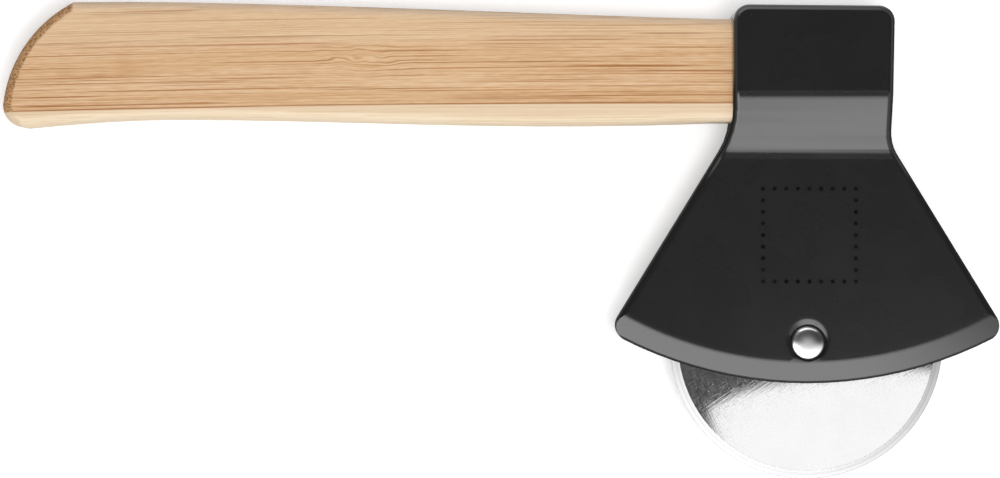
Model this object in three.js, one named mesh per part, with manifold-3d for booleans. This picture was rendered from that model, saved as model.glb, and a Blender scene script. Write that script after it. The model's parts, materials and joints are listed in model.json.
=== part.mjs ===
// A pizza cutter in the shape of a small axe. A bamboo handle is pinned in the eye of a black head, which is
// moulded in two shells. The cutting wheel turns in a slot between the shells on a two-piece rivet.
//
// Millimetres. The cutter lies on its rear face: +X runs along the handle to the head, +Y from the wheel to
// the poll of the axe, and +Z up out of the front face. The pieces are drawn from the axle, in the plane of
// the wheel, and the finished group is moved so that its outline is centred over the origin.

import * as THREE from "three";
import { mergeVertices, toCreasedNormals } from "three/addons/utils/BufferGeometryUtils.js";
import Module from "manifold-3d";

// Cutting wheel and its slot
const WHEEL_RADIUS = 28.7;
const WHEEL_THICKNESS = 1;
const GROUND_EDGE_WIDTH = 1.7;
const CUTTING_EDGE_THICKNESS = 0.15;
const SLOT_SIDE_GAP = 1;
const WELL_CLEARANCE = 1;

// Two-piece rivet that the wheel turns on
const BARREL_RADIUS = 2.4;
const RUNNING_CLEARANCE = 0.095;
const SHELL_BORE_CLEARANCE = 0.15;
const POST_RADIUS = 1.25;
const POST_CLEARANCE = 0.1;
const RIVET_HEAD_RADIUS = 3.6;
const RIVET_RIM_HEIGHT = 0.45;
const RIVET_DOME_HEIGHT = 0.85;
const SEAT_DEPTH = 1.1;
const SEAT_RADIUS = 3.9;
const DISH_DEPTH = 0.5;
const DISH_RADIUS = 4.5;
const DISH_WIDTH = 1.25;
const DISH_OFFSET = 0.75;
const DISH_SOFTNESS = 0.4;
const SEAT_GAP = 0.1;
const BARREL_END_GAP = 0.5;
const BARREL_CAP_THICKNESS = 1.2;
const WASHER_RADIUS = 6;
const WASHER_PLAY = 0.075;

// Bamboo handle: heights are above the underside of its neck
const HANDLE_HEIGHT = 46.2;
const HANDLE_REACH = 168.4;
const HANDLE_THICKNESS = 14;
const HANDLE_ROUNDING = 2.3;
const NECK_DEPTH = 21.6;
const NECK_LENGTH = 4;
const TENON_LENGTH = 29.3;
const BUTT_RADIUS = 27.5;
const BUTT_ARC_START = THREE.MathUtils.degToRad(117);
const TOE_RADIUS = 4.7;
const TOE_ARC_HEIGHT = 3.6;
const TOE_ARC_START = THREE.MathUtils.degToRad(172.5);
const WAIST_FROM_BUTT = 36.3;
const WAIST_HEIGHT = 0.75;
const BELLY_HEIGHT = -1.8;
const BACK_RISE_AT_NECK = 1.3;
const BACK_CROWN_HEIGHT = 25.6;

// Where the control points of the handle's curves lie, as shares of the stretch that each curve spans
const BACK_NECK_LEAD = 0.4;
const BACK_CROWN_LEAD = 0.88;
const TOE_LEAD = 0.3;
const WAIST_LEAD = 0.33;
const BELLY_LEAD = 0.6;

// Pins through the tenon
const PIN_RADIUS = 1.5;
const PIN_CLEARANCE = 0.15;
const PIN_EDGE_DISTANCE = 7;
const PIN_BITE = 1.4;

// Eye of the head, which holds the tenon
const TENON_CLEARANCE = 0.25;
const MOUTH_X = -15.8;
const EYE_WALL = 2.75;
const EYE_ROOF = 2.35;
const EYE_END_WALL = 3.55;
const EYE_FLOOR = 4;
const EYE_FLARE = 0.55;
const MOUTH_LIP = 0.3;
const POLL_RADIUS = 3.3;
const SLOPE_TOP = 51.8;
const SLOPE_LENGTH = 11.7;
const SLOPE_CROWN = 0.13;
const CREASE_SOFTNESS = 1.1;
const EDGE_FILLET = 1.4;

// Fan of the head, which covers the wheel
const FAN_THICKNESS = 11;
const FAN_HALF_ANGLE = THREE.MathUtils.degToRad(31.5);
const FAN_APEX_HEIGHT = 70.1;
const NECK_FILLET_MOUTH_SIDE = 16;
const NECK_FILLET_FAR_SIDE = 9;
const TIP_RADIUS = 3.4;
const RIM_RADIUS = 85.3;
const RIM_DROP = 8.5;
const BEVEL_WIDTH = 4.8;
const BEVEL_DROP = 1.7;
const BEVEL_SOFTNESS = 0.7;
const RIM_EDGE_FILLET = 0.6;
const FAN_WALL = 2.2;
const RIM_WALL = 3.2;
const CAVITY_FILLET = 0.8;
const WELL_WALL = 1.6;
const RIB_THICKNESS = 1.6;
const RIB_ANGLE = THREE.MathUtils.degToRad(33);
const AXLE_BOSS_RADIUS = 6.6;

// Joint between the two shells
const SEAM_GAP = 0.2;
const PEG_RADIUS = 1.5;
const PEG_CLEARANCE = 0.12;
const PEG_LENGTH = 2.4;
const PEG_BOSS_RADIUS = 3;
const SIDE_PEG_HEIGHT = 7;

// Fineness of the round surfaces
const WHEEL_SEGMENTS = 96;
const RIVET_SEGMENTS = 48;
const HIDDEN_SEGMENTS = 24;
const RIM_SEGMENTS = 132;
const FILLET_STEPS = 4;
const DOME_STEPS = 6;
const CURVE_STEPS = 10;
const ARC_STEP = THREE.MathUtils.degToRad(9);

// Cutters run past the surface that they open by this much
const OVERCUT = 1;
const TOUCH = 0.01;

// Sizes that follow from those above
const NECK_TOP = HANDLE_HEIGHT + NECK_DEPTH;
const TENON_END = MOUTH_X + TENON_LENGTH;
const TENON_HALF = HANDLE_THICKNESS / 2;
const EYE_HALF = TENON_HALF + TENON_CLEARANCE + EYE_WALL;
const EYE_TOP = NECK_TOP + TENON_CLEARANCE + EYE_ROOF;
const EYE_RIGHT = TENON_END + TENON_CLEARANCE + EYE_END_WALL;
const SLOPE_BOTTOM = SLOPE_TOP - SLOPE_LENGTH;
const FAN_HALF = FAN_THICKNESS / 2;
const RIM_CENTRE = new THREE.Vector2(0, RIM_RADIUS - RIM_DROP);
const CAVITY_TOP = HANDLE_HEIGHT - TENON_CLEARANCE - EYE_FLOOR;
const CAVITY_FLOOR = FAN_HALF - FAN_WALL;
const SLOT_HALF = WHEEL_THICKNESS / 2 + SLOT_SIDE_GAP;
const WELL_RADIUS = WHEEL_RADIUS + WELL_CLEARANCE;
const WASHER_THICKNESS = SLOT_SIDE_GAP - 2 * WASHER_PLAY;
const SEAT_HEIGHT = FAN_HALF - SEAT_DEPTH;
const WHEEL_BORE_RADIUS = BARREL_RADIUS + RUNNING_CLEARANCE;
const PIN_HALF_LENGTH = TENON_HALF + TENON_CLEARANCE + PIN_BITE;
const UPPER_PIN = new THREE.Vector2(MOUTH_X + PIN_EDGE_DISTANCE, NECK_TOP - PIN_EDGE_DISTANCE);
const LOWER_PIN = new THREE.Vector2(TENON_END - PIN_EDGE_DISTANCE, HANDLE_HEIGHT + PIN_EDGE_DISTANCE);

const wasm = await Module();
wasm.setup();

// Booleans

function withoutSlivers(geometry) {
  const corners = geometry.index.array;
  const kept = [];
  for (let i = 0; i < corners.length; i += 3) {
    const [a, b, c] = corners.slice(i, i + 3);
    if (a !== b && b !== c && c !== a) {
      kept.push(a, b, c);
    }
  }
  geometry.setIndex(kept);
  return geometry;
}

function solid(geometry) {
  const bare = geometry.clone();
  bare.deleteAttribute("normal");
  bare.deleteAttribute("uv");
  const welded = withoutSlivers(mergeVertices(bare));
  return new wasm.Manifold(
    new wasm.Mesh({
      numProp: 3,
      vertProperties: new Float32Array(welded.attributes.position.array),
      triVerts: new Uint32Array(welded.index.array),
    }),
  );
}

function unionOf(solids) {
  return solids.reduce((joined, next) => joined.add(next));
}

function surface(body) {
  const { vertProperties, triVerts } = body.getMesh();
  const geometry = new THREE.BufferGeometry();
  geometry.setAttribute("position", new THREE.BufferAttribute(new Float32Array(vertProperties), 3));
  geometry.setIndex(Array.from(triVerts));
  return geometry;
}

function mirrored(geometry) {
  const other = geometry.clone().scale(1, 1, -1);
  const corners = other.index.array;
  for (let i = 0; i < corners.length; i += 3) {
    [corners[i], corners[i + 1]] = [corners[i + 1], corners[i]];
  }
  return other;
}

// Forms

// A profile of (radius, height) points turned about an axis parallel to Z
function turned(profile, segments, centre = new THREE.Vector2()) {
  const geometry = new THREE.LatheGeometry(profile, segments);
  return geometry.rotateX(Math.PI / 2).translate(centre.x, centre.y, 0);
}

function ringProfile(innerRadius, outerRadius, low, high) {
  return [
    new THREE.Vector2(innerRadius, low),
    new THREE.Vector2(outerRadius, low),
    new THREE.Vector2(outerRadius, high),
    new THREE.Vector2(innerRadius, high),
    new THREE.Vector2(innerRadius, low),
  ];
}

function rod(radius, low, high, centre = new THREE.Vector2(), segments = HIDDEN_SEGMENTS) {
  const profile = [
    new THREE.Vector2(0, low),
    new THREE.Vector2(radius, low),
    new THREE.Vector2(radius, high),
    new THREE.Vector2(0, high),
  ];
  return turned(profile, segments, centre);
}

// A polygon, anticlockwise, with an arc at each corner that has a radius
function roundedPolygon(corners) {
  const points = [];
  corners.forEach(({ at, radius }, i) => {
    const back = corners.at(i - 1).at.clone().sub(at).normalize();
    const ahead = corners[(i + 1) % corners.length].at.clone().sub(at).normalize();
    if (radius === 0) {
      points.push(at);
      return;
    }
    const halfAngle = Math.acos(back.dot(ahead)) / 2;
    const towards = back.clone().add(ahead).normalize();
    const centre = at.clone().addScaledVector(towards, radius / Math.sin(halfAngle));
    const turn = Math.PI - 2 * halfAngle;
    const side = Math.sign(ahead.cross(back));
    const start = at.clone().addScaledVector(back, radius / Math.tan(halfAngle));
    const steps = Math.ceil(turn / ARC_STEP);
    for (let step = 0; step <= steps; step++) {
      points.push(start.clone().rotateAround(centre, (side * turn * step) / steps));
    }
  });
  return points;
}

function insetOutline(points, distance) {
  return points.map((point, i) => {
    const before = point.clone().sub(points.at(i - 1)).normalize();
    const after = points[(i + 1) % points.length].clone().sub(point).normalize();
    const inward = new THREE.Vector2(-before.y - after.y, before.x + after.x);
    return point.clone().addScaledVector(inward, distance / (1 + before.dot(after)));
  });
}

// Adds a point wherever the outline crosses a level, so that a crease can run from side to side
function crossedAt(levels, points) {
  const crossed = [];
  points.forEach((point, i) => {
    const next = points[(i + 1) % points.length];
    const rise = next.y - point.y;
    const between = levels.filter((level) => (level - point.y) * (level - next.y) < -TOUCH);
    between.sort((a, b) => (a - b) * rise);
    crossed.push(point);
    for (const level of between) {
      crossed.push(point.clone().lerp(next, (level - point.y) / rise));
    }
  });
  return crossed;
}

// Half of a plate: flat below, at the base, with a filleted upper edge and a top whose height changes along
// Y. The profile is a falling list of (y, height) points, and the outline is crossed at each of its levels.
function halfPlate(outline, profile, fillet, base) {
  const levels = profile.map((point) => point.x);
  const points = crossedAt(levels, outline);
  const heightAt = (y) => {
    const after = Math.max(1, profile.findIndex((point) => point.x <= y + TOUCH));
    const [high, low] = [profile[after - 1], profile[after]];
    return THREE.MathUtils.mapLinear(y, high.x, low.x, high.y, low.y);
  };

  const rings = [points.map((point) => [point.x, point.y, base])];
  for (let step = 0; step <= FILLET_STEPS; step++) {
    const angle = (step / FILLET_STEPS) * (Math.PI / 2);
    const sunk = fillet * (1 - Math.sin(angle));
    const inner = insetOutline(points, fillet * (1 - Math.cos(angle)));
    rings.push(inner.map((point, i) => [point.x, point.y, heightAt(points[i].y) - sunk]));
  }

  const count = points.length;
  const corners = [];
  for (let ring = 0; ring + 1 < rings.length; ring++) {
    for (let i = 0; i < count; i++) {
      const j = (i + 1) % count;
      const [a, b] = [ring * count + i, ring * count + j];
      corners.push(a, b, b + count, a, b + count, a + count);
    }
  }
  const plan = (ring, indices) => indices.map((i) => new THREE.Vector2(rings[ring][i][0], rings[ring][i][1]));
  const all = points.map((_, i) => i);
  for (const [a, b, c] of THREE.ShapeUtils.triangulateShape(plan(0, all), [])) {
    corners.push(c, b, a);
  }
  const last = rings.length - 1;
  for (let band = 0; band + 1 < levels.length; band++) {
    const inBand = (i) => points[i].y <= levels[band] + TOUCH && points[i].y >= levels[band + 1] - TOUCH;
    const held = all.filter(inBand);
    for (const face of THREE.ShapeUtils.triangulateShape(plan(last, held), [])) {
      corners.push(...face.map((i) => last * count + held[i]));
    }
  }

  const geometry = new THREE.BufferGeometry();
  geometry.setAttribute("position", new THREE.Float32BufferAttribute(rings.flat(2), 3));
  geometry.setIndex(corners);
  return geometry;
}

// Head

// The middle of the arc that rounds a tip of the fan: it touches the sloping side and the rim
function tipCentre() {
  const apex = new THREE.Vector2(0, FAN_APEX_HEIGHT);
  const along = new THREE.Vector2(Math.sin(FAN_HALF_ANGLE), -Math.cos(FAN_HALF_ANGLE));
  const inward = new THREE.Vector2(-along.y, along.x).negate();
  const start = apex.clone().addScaledVector(inward, TIP_RADIUS);
  const offset = start.clone().sub(RIM_CENTRE);
  const reach = RIM_RADIUS - TIP_RADIUS;
  const lead = offset.dot(along);
  return start.addScaledVector(along, Math.sqrt(lead ** 2 - offset.lengthSq() + reach ** 2) - lead);
}

function fanHalfWidthAt(y) {
  return (FAN_APEX_HEIGHT - y) * Math.tan(FAN_HALF_ANGLE);
}

// The outline of eye and fan. The eye widens a little towards the poll and stands highest over its mouth.
// Below the tips the outline runs straight on, outside the round rim that is cut later.
function headOutline() {
  const tilt = tipCentre().sub(RIM_CENTRE).angle();
  const keelHeight = RIM_CENTRE.y + RIM_RADIUS / Math.sin(tilt);
  const rise = -1 / Math.tan(tilt);
  const slant = 1 / Math.tan(FAN_HALF_ANGLE);
  const tipX = (FAN_APEX_HEIGHT - keelHeight) / (rise + slant);
  const tipY = keelHeight + rise * tipX;
  const neckHeight = (x) => FAN_APEX_HEIGHT - Math.abs(x) * slant;
  return roundedPolygon([
    { at: new THREE.Vector2(0, keelHeight), radius: 0 },
    { at: new THREE.Vector2(tipX, tipY), radius: TIP_RADIUS },
    { at: new THREE.Vector2(EYE_RIGHT, neckHeight(EYE_RIGHT)), radius: NECK_FILLET_FAR_SIDE },
    { at: new THREE.Vector2(EYE_RIGHT + EYE_FLARE, EYE_TOP), radius: POLL_RADIUS },
    { at: new THREE.Vector2(MOUTH_X, EYE_TOP + MOUTH_LIP), radius: POLL_RADIUS },
    { at: new THREE.Vector2(MOUTH_X, neckHeight(MOUTH_X)), radius: NECK_FILLET_MOUTH_SIDE },
    { at: new THREE.Vector2(-tipX, tipY), radius: TIP_RADIUS },
  ]);
}

// Height of the front face above the plane of the wheel, from the poll down: eye, slope and fan. The slope is
// slightly crowned, so that it steepens on its way down.
function faceProfile(outline) {
  const lowest = Math.min(...outline.map((point) => point.y));
  const highest = Math.max(...outline.map((point) => point.y));
  const path = new THREE.Path();
  const slope = new THREE.Vector2(-SLOPE_LENGTH, FAN_HALF - EYE_HALF).setLength(CREASE_SOFTNESS);
  path.moveTo(highest, EYE_HALF);
  path.lineTo(SLOPE_TOP + CREASE_SOFTNESS, EYE_HALF);
  path.quadraticCurveTo(SLOPE_TOP, EYE_HALF, SLOPE_TOP + slope.x, EYE_HALF + slope.y);
  path.quadraticCurveTo(
    (SLOPE_TOP + SLOPE_BOTTOM) / 2, (EYE_HALF + FAN_HALF) / 2 + SLOPE_CROWN,
    SLOPE_BOTTOM - slope.x, FAN_HALF - slope.y,
  );
  path.quadraticCurveTo(SLOPE_BOTTOM, FAN_HALF, SLOPE_BOTTOM - CREASE_SOFTNESS, FAN_HALF);
  path.lineTo(lowest, FAN_HALF);
  return path.getPoints(FILLET_STEPS);
}

// Everything inside the round rim and under its bevel, which is softened where it meets the face of the fan
function rimBody() {
  const edge = FAN_HALF - BEVEL_DROP;
  const fall = BEVEL_DROP / BEVEL_WIDTH;
  const softX = RIM_RADIUS - BEVEL_WIDTH + BEVEL_SOFTNESS;
  const softY = FAN_HALF - fall * BEVEL_SOFTNESS;
  const softFall = fall / 2;
  const top = EYE_HALF + OVERCUT;
  const path = new THREE.Path();
  path.moveTo(0, -OVERCUT);
  path.lineTo(RIM_RADIUS, -OVERCUT);
  path.lineTo(RIM_RADIUS, edge - RIM_EDGE_FILLET);
  path.quadraticCurveTo(RIM_RADIUS, edge, RIM_RADIUS - RIM_EDGE_FILLET, edge + fall * RIM_EDGE_FILLET);
  path.lineTo(softX, softY);
  path.lineTo(softX - (top - softY) / softFall, top);
  path.lineTo(0, top);
  return turned(path.getPoints(FILLET_STEPS), RIM_SEGMENTS, RIM_CENTRE);
}

// The hollow of the fan, with the walls, ribs and bosses that stand in it taken out
function hollow() {
  const inset = FAN_WALL / Math.cos(FAN_HALF_ANGLE);
  const innerRim = RIM_RADIUS - RIM_WALL;
  const sideAt = (y) => fanHalfWidthAt(y) - inset;
  const tip = tipCentre().sub(RIM_CENTRE).setLength(innerRim).add(RIM_CENTRE);
  const halfSpan = Math.asin((sideAt(tip.y) - TIP_RADIUS) / innerRim);
  const shape = new THREE.Shape();
  shape.absarc(RIM_CENTRE.x, RIM_CENTRE.y, innerRim, -Math.PI / 2 - halfSpan, -Math.PI / 2 + halfSpan, false);
  shape.lineTo(sideAt(tip.y + TIP_RADIUS), tip.y + TIP_RADIUS);
  shape.lineTo(sideAt(CAVITY_TOP), CAVITY_TOP);
  shape.lineTo(-sideAt(CAVITY_TOP), CAVITY_TOP);
  shape.lineTo(-sideAt(tip.y + TIP_RADIUS), tip.y + TIP_RADIUS);
  const cavity = new THREE.ExtrudeGeometry(shape, {
    depth: CAVITY_FLOOR + OVERCUT - CAVITY_FILLET,
    bevelThickness: CAVITY_FILLET,
    bevelSize: CAVITY_FILLET,
    bevelOffset: -CAVITY_FILLET,
    bevelSegments: FILLET_STEPS,
    curveSegments: 2 * CURVE_STEPS,
  });
  return solid(cavity.translate(0, 0, -OVERCUT)).subtract(unionOf(stiffeners()));
}

function sidePeg() {
  const well = Math.sqrt((WELL_RADIUS + WELL_WALL) ** 2 - SIDE_PEG_HEIGHT ** 2);
  const wall = fanHalfWidthAt(SIDE_PEG_HEIGHT) - FAN_WALL / Math.cos(FAN_HALF_ANGLE);
  return new THREE.Vector2((well + wall) / 2, SIDE_PEG_HEIGHT);
}

function pegPlaces() {
  const side = sidePeg();
  const top = new THREE.Vector2(0, (WELL_RADIUS + WELL_WALL + CAVITY_TOP) / 2);
  return [side, new THREE.Vector2(-side.x, side.y), top];
}

function stiffeners() {
  const low = -2 * OVERCUT;
  const high = FAN_HALF;
  const well = ringProfile(WELL_RADIUS, WELL_RADIUS + WELL_WALL, low, high);
  const parts = [turned(well, WHEEL_SEGMENTS), rod(AXLE_BOSS_RADIUS, low, high)];
  for (const place of pegPlaces()) {
    parts.push(rod(PEG_BOSS_RADIUS, low, high, place));
  }
  for (const angle of [-RIB_ANGLE, 0, RIB_ANGLE]) {
    const rib = new THREE.BoxGeometry(RIB_THICKNESS, EYE_TOP, high - low);
    rib.translate(0, EYE_TOP / 2, (high + low) / 2);
    parts.push(rib.rotateZ(angle));
  }
  return parts.map(solid);
}

function tenonSocket() {
  const half = TENON_HALF + TENON_CLEARANCE;
  const low = HANDLE_HEIGHT - TENON_CLEARANCE;
  const high = NECK_TOP + TENON_CLEARANCE;
  const radius = HANDLE_ROUNDING;
  const section = roundedPolygon([
    { at: new THREE.Vector2(-half, low), radius },
    { at: new THREE.Vector2(half, low), radius },
    { at: new THREE.Vector2(half, high), radius },
    { at: new THREE.Vector2(-half, high), radius },
  ]);
  const depth = OVERCUT + TENON_LENGTH + TENON_CLEARANCE;
  const socket = new THREE.ExtrudeGeometry(new THREE.Shape(section), { depth, bevelEnabled: false });
  return socket.rotateY(Math.PI / 2).translate(MOUTH_X - OVERCUT, 0, 0);
}

// The seat of a rivet head, and the bore through the boss behind it
function rivetSeat() {
  const bore = BARREL_RADIUS + SHELL_BORE_CLEARANCE;
  const top = FAN_HALF + OVERCUT;
  return turned(
    [
      new THREE.Vector2(0, -OVERCUT),
      new THREE.Vector2(bore, -OVERCUT),
      new THREE.Vector2(bore, SEAT_HEIGHT),
      new THREE.Vector2(SEAT_RADIUS, SEAT_HEIGHT),
      new THREE.Vector2(SEAT_RADIUS, top),
      new THREE.Vector2(0, top),
    ],
    RIVET_SEGMENTS,
  );
}

// The shallow, soft-edged dish round a rivet's seat, set off towards the poll to stay clear of the bevel
function rivetDish() {
  const rise = DISH_DEPTH / DISH_WIDTH;
  const softX = DISH_RADIUS - DISH_SOFTNESS;
  const softY = FAN_HALF - rise * DISH_SOFTNESS;
  const softRise = rise / 2;
  const top = FAN_HALF + OVERCUT;
  return turned(
    [
      new THREE.Vector2(0, FAN_HALF - DISH_DEPTH),
      new THREE.Vector2(DISH_RADIUS - DISH_WIDTH, FAN_HALF - DISH_DEPTH),
      new THREE.Vector2(softX, softY),
      new THREE.Vector2(softX + (top - softY) / softRise, top),
      new THREE.Vector2(0, top),
    ],
    RIVET_SEGMENTS,
    new THREE.Vector2(0, DISH_OFFSET),
  );
}

// What both shells have in common, above the plane of the wheel
function shellBody() {
  const outline = headOutline();
  const plate = halfPlate(outline, faceProfile(outline), EDGE_FILLET, SEAM_GAP / 2);
  const wheelWell = rod(WELL_RADIUS, -OVERCUT, SLOT_HALF, new THREE.Vector2(), WHEEL_SEGMENTS);
  const pinHole = PIN_RADIUS + PIN_CLEARANCE;
  const holes = [UPPER_PIN, LOWER_PIN].map((place) =>
    rod(pinHole, -OVERCUT, PIN_HALF_LENGTH + PIN_CLEARANCE, place),
  );
  const cutters = [wheelWell, tenonSocket(), rivetSeat(), rivetDish(), ...holes].map(solid);
  return solid(plate).intersect(solid(rimBody())).subtract(hollow()).subtract(unionOf(cutters));
}

function frontShell() {
  const pegs = pegPlaces().map((place) => solid(rod(PEG_RADIUS, -PEG_LENGTH, SLOT_HALF, place)));
  return surface(unionOf([shellBody(), ...pegs]));
}

function rearShell() {
  const depth = PEG_LENGTH + PEG_CLEARANCE;
  const sockets = pegPlaces().map((place) => solid(rod(PEG_RADIUS + PEG_CLEARANCE, -OVERCUT, depth, place)));
  return mirrored(surface(shellBody().subtract(unionOf(sockets))));
}

// Handle

// The round butt runs into the smaller arc of the toe where both have the same direction
function handleOutline() {
  const left = -HANDLE_REACH;
  const neckX = MOUTH_X - NECK_LENGTH;
  const waistX = left + WAIST_FROM_BUTT;
  const grip = neckX - waistX;
  const toeX = left + TOE_RADIUS;
  const toeY = HANDLE_HEIGHT + TOE_ARC_HEIGHT;
  const spoke = (length, angle) => new THREE.Vector2(length * Math.cos(angle), length * Math.sin(angle));
  const buttCentre = new THREE.Vector2(toeX, toeY).sub(spoke(BUTT_RADIUS - TOE_RADIUS, TOE_ARC_START));
  const backEnd = buttCentre.clone().add(spoke(BUTT_RADIUS, BUTT_ARC_START));

  const shape = new THREE.Shape();
  shape.moveTo(TENON_END, HANDLE_HEIGHT);
  shape.lineTo(TENON_END, NECK_TOP);
  shape.lineTo(neckX, NECK_TOP);
  shape.bezierCurveTo(
    neckX - grip * BACK_NECK_LEAD, NECK_TOP + BACK_RISE_AT_NECK,
    neckX - grip * BACK_CROWN_LEAD, HANDLE_HEIGHT + BACK_CROWN_HEIGHT,
    backEnd.x, backEnd.y,
  );
  shape.absarc(buttCentre.x, buttCentre.y, BUTT_RADIUS, BUTT_ARC_START, TOE_ARC_START, false);
  shape.absarc(toeX, toeY, TOE_RADIUS, TOE_ARC_START, 1.5 * Math.PI, false);
  shape.bezierCurveTo(
    toeX + WAIST_FROM_BUTT * TOE_LEAD, HANDLE_HEIGHT,
    waistX - WAIST_FROM_BUTT * TOE_LEAD, HANDLE_HEIGHT + WAIST_HEIGHT,
    waistX, HANDLE_HEIGHT + WAIST_HEIGHT,
  );
  shape.bezierCurveTo(
    waistX + grip * WAIST_LEAD, HANDLE_HEIGHT + WAIST_HEIGHT,
    waistX + grip * BELLY_LEAD, HANDLE_HEIGHT + BELLY_HEIGHT,
    neckX, HANDLE_HEIGHT,
  );
  return shape;
}

function handle() {
  const depth = HANDLE_THICKNESS - 2 * HANDLE_ROUNDING;
  const blank = new THREE.ExtrudeGeometry(handleOutline(), {
    depth,
    bevelThickness: HANDLE_ROUNDING,
    bevelSize: HANDLE_ROUNDING,
    bevelOffset: -HANDLE_ROUNDING,
    bevelSegments: FILLET_STEPS + 1,
    curveSegments: CURVE_STEPS,
  });
  blank.translate(0, 0, -depth / 2);
  const holes = [UPPER_PIN, LOWER_PIN].map((place) =>
    solid(rod(PIN_RADIUS + PIN_CLEARANCE, -HANDLE_THICKNESS, HANDLE_THICKNESS, place)),
  );
  return surface(solid(blank).subtract(unionOf(holes)));
}

function handlePin(place) {
  return rod(PIN_RADIUS, -PIN_HALF_LENGTH, PIN_HALF_LENGTH, place);
}

// Wheel and axle

function cuttingWheel() {
  const half = WHEEL_THICKNESS / 2;
  const edge = CUTTING_EDGE_THICKNESS / 2;
  const flat = WHEEL_RADIUS - GROUND_EDGE_WIDTH;
  return turned(
    [
      new THREE.Vector2(WHEEL_BORE_RADIUS, -half),
      new THREE.Vector2(flat, -half),
      new THREE.Vector2(WHEEL_RADIUS, -edge),
      new THREE.Vector2(WHEEL_RADIUS, edge),
      new THREE.Vector2(flat, half),
      new THREE.Vector2(WHEEL_BORE_RADIUS, half),
      new THREE.Vector2(WHEEL_BORE_RADIUS, -half),
    ],
    WHEEL_SEGMENTS,
  );
}

function washer() {
  const low = WHEEL_THICKNESS / 2 + WASHER_PLAY;
  return turned(ringProfile(WHEEL_BORE_RADIUS, WASHER_RADIUS, low, low + WASHER_THICKNESS), HIDDEN_SEGMENTS);
}

// The domed head of a rivet half, from the rim of its flat underside to the top of the dome
function rivetHead() {
  const seat = SEAT_HEIGHT + SEAT_GAP;
  const profile = [new THREE.Vector2(RIVET_HEAD_RADIUS, seat)];
  for (let step = 0; step <= DOME_STEPS; step++) {
    const angle = (step / DOME_STEPS) * (Math.PI / 2);
    const height = seat + RIVET_RIM_HEIGHT + RIVET_DOME_HEIGHT * Math.sin(angle);
    profile.push(new THREE.Vector2(RIVET_HEAD_RADIUS * Math.cos(angle), height));
  }
  return profile;
}

function axleBarrel() {
  const seat = SEAT_HEIGHT + SEAT_GAP;
  const end = BARREL_END_GAP - SEAT_HEIGHT;
  const bore = POST_RADIUS + POST_CLEARANCE;
  const boreTop = SEAT_HEIGHT - BARREL_CAP_THICKNESS;
  return turned(
    [
      new THREE.Vector2(0, boreTop),
      new THREE.Vector2(bore, boreTop),
      new THREE.Vector2(bore, end),
      new THREE.Vector2(BARREL_RADIUS, end),
      new THREE.Vector2(BARREL_RADIUS, seat),
      ...rivetHead(),
    ],
    RIVET_SEGMENTS,
  );
}

function axlePost() {
  const tip = BARREL_CAP_THICKNESS + POST_CLEARANCE - SEAT_HEIGHT;
  const seat = SEAT_HEIGHT + SEAT_GAP;
  const profile = [
    new THREE.Vector2(0, tip),
    new THREE.Vector2(POST_RADIUS, tip),
    new THREE.Vector2(POST_RADIUS, seat),
    ...rivetHead(),
  ];
  return turned(profile, RIVET_SEGMENTS).rotateX(Math.PI);
}

// Finishes and assembly

const BAMBOO = { color: 0xdcb993, roughness: 0.6, metalness: 0 };
const BLACK_PLASTIC = { color: 0x26262a, roughness: 0.28, metalness: 0 };
const POLISHED_STEEL = { color: 0xd3d6d9, roughness: 0.16, metalness: 1 };
const PLAIN_STEEL = { color: 0xb4b7ba, roughness: 0.4, metalness: 1 };
const WHITE_NYLON = { color: 0xe6e4dc, roughness: 0.55, metalness: 0 };

const cutter = new THREE.Group();

function place(name, geometry, finish) {
  const mesh = new THREE.Mesh(toCreasedNormals(geometry), new THREE.MeshStandardMaterial(finish));
  mesh.name = name;
  cutter.add(mesh);
  return mesh;
}

place("handle", handle(), BAMBOO);
place("front_shell", frontShell(), BLACK_PLASTIC);
place("rear_shell", rearShell(), BLACK_PLASTIC);
place("cutting_wheel", cuttingWheel(), POLISHED_STEEL);
place("axle_barrel", axleBarrel(), POLISHED_STEEL);
place("axle_post", axlePost(), POLISHED_STEEL);
place("front_washer", washer(), WHITE_NYLON);
place("rear_washer", washer().rotateX(Math.PI), WHITE_NYLON);
place("handle_pin_upper", handlePin(UPPER_PIN), PLAIN_STEEL);
place("handle_pin_lower", handlePin(LOWER_PIN), PLAIN_STEEL);

// The cutter rests on the rear face of its eye, with its outline centred over the origin
const box = new THREE.Box3().setFromObject(cutter);
const middle = box.getCenter(new THREE.Vector3());
cutter.position.set(-middle.x, -middle.y, -box.min.z);

export default cutter;
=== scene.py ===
# %% [markdown]
# # A pizza cutter in the shape of an axe
# The real cutter is a bamboo handle set in the eye of a black moulded head, with a steel wheel that turns
# on a rivet in the head's curved edge. Its shapes come ready-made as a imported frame, so this lesson is
# about light and finish. Loading the frame first keeps every size that follows tied to the real part.

# %% Load the frame
import json
import math

import bpy
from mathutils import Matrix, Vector


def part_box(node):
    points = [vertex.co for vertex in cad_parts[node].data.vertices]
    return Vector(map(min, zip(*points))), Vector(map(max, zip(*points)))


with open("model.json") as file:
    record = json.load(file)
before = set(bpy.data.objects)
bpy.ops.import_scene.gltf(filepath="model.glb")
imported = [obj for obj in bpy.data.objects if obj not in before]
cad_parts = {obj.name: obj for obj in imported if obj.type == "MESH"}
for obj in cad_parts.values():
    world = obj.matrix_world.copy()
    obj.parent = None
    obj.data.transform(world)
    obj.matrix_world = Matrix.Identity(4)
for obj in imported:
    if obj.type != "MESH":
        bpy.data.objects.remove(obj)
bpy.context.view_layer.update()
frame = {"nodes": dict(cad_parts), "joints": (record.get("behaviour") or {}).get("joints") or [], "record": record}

MM = 0.001

nodes = frame["nodes"]
axle = Vector(frame["joints"][0]["pos_m"])
print("pieces in the frame:", ", ".join(sorted(nodes)))

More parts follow.
